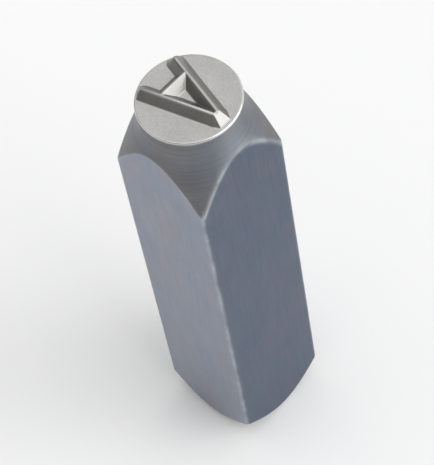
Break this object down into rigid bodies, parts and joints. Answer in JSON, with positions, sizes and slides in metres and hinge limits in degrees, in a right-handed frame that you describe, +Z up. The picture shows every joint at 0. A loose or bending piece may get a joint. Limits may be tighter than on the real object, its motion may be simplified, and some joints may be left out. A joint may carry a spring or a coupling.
{
  "type": "steel letter punch",
  "caption": "Square steel letter punch with a turned round nose, a raised letter A on its end face and a chamfered struck end.",
  "frame": {"origin": "middle of the flat struck face, which the punch stands on", "axes": "+Z up the punch's axis from the struck face to the letter, X and Y square to the flats of the shank, and the top of the letter to -Y"},
  "size_m": [0.0126, 0.0126, 0.06],
  "materials": {
    "tool_steel": "bare satin steel, turned grey on the nose and brighter on the end face"
  },
  "bodies": {
    "root": {"letter_punch": "tool_steel"}
  },
  "joints": []
}
